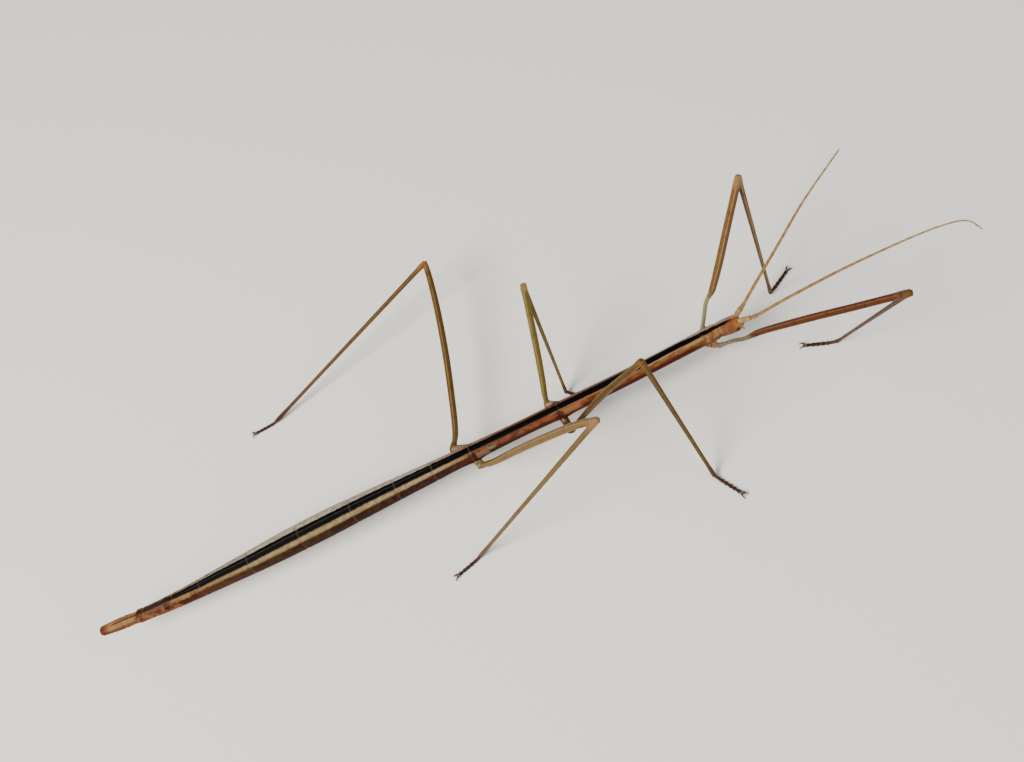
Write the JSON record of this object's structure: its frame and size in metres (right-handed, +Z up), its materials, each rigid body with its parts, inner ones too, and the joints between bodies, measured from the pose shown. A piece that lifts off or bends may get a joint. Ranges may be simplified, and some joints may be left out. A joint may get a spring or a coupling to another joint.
{
  "type": "stick insect",
  "caption": "Slender wingless stick insect, standing on thin legs with its feelers held forward, as a still life-size museum model.",
  "frame": {"origin": "middle of the bounding box, on the ground under the insect", "axes": "+X along the body towards the head, +Y to the insect's left, +Z up"},
  "size_m": [0.1076, 0.0422, 0.0275],
  "materials": {
    "head": "satin",
    "eye": "gloss",
    "mouth": "satin",
    "thorax": "satin",
    "abdomen": "satin",
    "tail": "satin",
    "feeler": "satin",
    "leg": "satin",
    "foot": "satin",
    "claw": "gloss"
  },
  "bodies": {
    "root": {"head": "head", "eye_left": "eye", "eye_right": "eye", "mouthparts": "mouth", "pronotum": "thorax", "mesothorax": "thorax", "metathorax": "thorax", "abdomen_10": "abdomen", "abdomen_9": "abdomen", "abdomen_8": "abdomen", "abdomen_7": "abdomen", "abdomen_6": "abdomen", "abdomen_5": "abdomen", "abdomen_4": "abdomen", "abdomen_3": "abdomen", "abdomen_2": "abdomen", "median_segment": "abdomen", "operculum": "tail", "cercus_left": "tail", "cercus_right": "tail", "scape_left": "feeler", "scape_right": "feeler", "pedicel_left": "feeler", "pedicel_right": "feeler", "flagellum_left": "feeler", "flagellum_right": "feeler", "front_left_coxa": "leg", "front_left_femur": "leg", "front_left_tibia": "leg", "front_left_tarsus": "foot", "front_left_claws": "claw", "front_right_coxa": "leg", "front_right_femur": "leg", "front_right_tibia": "leg", "front_right_tarsus": "foot", "front_right_claws": "claw", "middle_left_coxa": "leg", "middle_left_femur": "leg", "middle_left_tibia": "leg", "middle_left_tarsus": "foot", "middle_left_claws": "claw", "middle_right_coxa": "leg", "middle_right_femur": "leg", "middle_right_tibia": "leg", "middle_right_tarsus": "foot", "middle_right_claws": "claw", "hind_left_coxa": "leg", "hind_left_femur": "leg", "hind_left_tibia": "leg", "hind_left_tarsus": "foot", "hind_left_claws": "claw", "hind_right_coxa": "leg", "hind_right_femur": "leg", "hind_right_tibia": "leg", "hind_right_tarsus": "foot", "hind_right_claws": "claw"}
  },
  "joints": []
}
